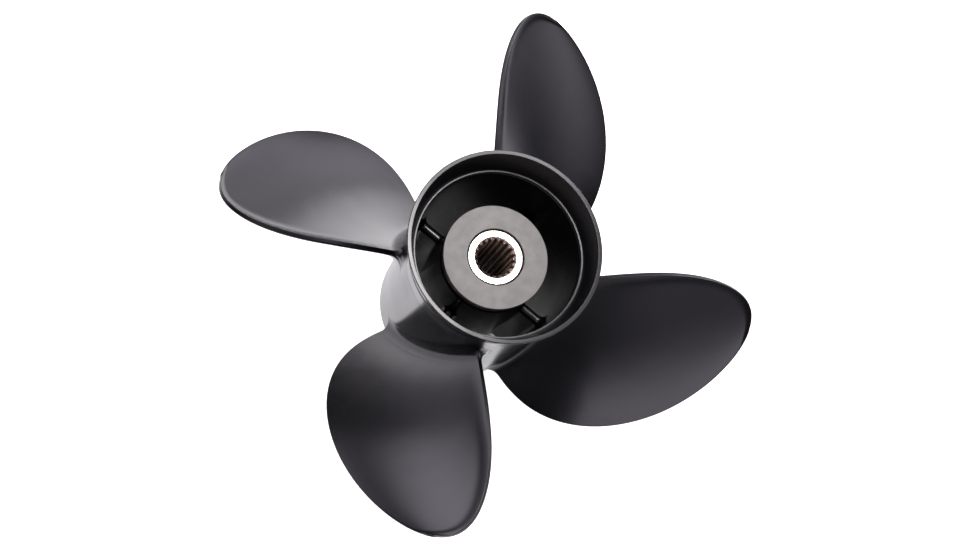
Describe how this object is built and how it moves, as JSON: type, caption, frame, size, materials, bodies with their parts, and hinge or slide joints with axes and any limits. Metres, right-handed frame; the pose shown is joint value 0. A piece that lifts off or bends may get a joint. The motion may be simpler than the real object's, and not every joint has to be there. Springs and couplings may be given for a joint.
{
  "type": "boat propeller",
  "caption": "Right-hand screw propeller for an outboard or sterndrive: swept blades on a through-hub exhaust barrel, ribs, inner hub, rubber cushion and splined drive sleeve, in satin black",
  "frame": {"origin": "on the shaft axis, at the front end of the barrel, on which the propeller stands", "axes": "+Z aft along the shaft axis, out of the exhaust mouth; +X through the middle of the first blade's root"},
  "size_m": [0.3604, 0.3604, 0.175],
  "materials": {
    "black_paint": "satin black paint over cast aluminium",
    "hub_face_paint": "satin grey-black paint on a faced casting",
    "cushion_rubber": "moulded matte rubber",
    "sleeve_bronze": "turned and broached bronze"
  },
  "bodies": {
    "drive_side": {"drive_sleeve": "sleeve_bronze", "rubber_cushion": "cushion_rubber"},
    "propeller": {"outer_barrel": "black_paint", "exhaust_mouth": "black_paint", "inner_hub": "black_paint", "rib_1": "black_paint", "rib_2": "black_paint", "rib_3": "black_paint", "rib_4": "black_paint", "blade_1": "black_paint", "blade_2": "black_paint", "blade_3": "black_paint", "blade_4": "black_paint", "hub_rear_wall": "hub_face_paint"}
  },
  "joints": [
    {"name": "cushion_wind_up", "type": "hinge", "parent": "drive_side", "child": "propeller", "pos_m": [0, 0, 0.077], "axis": [0, 0, 1], "range_deg": [-8, 8], "stiffness_Nm_per_rad": 3600}
  ]
}
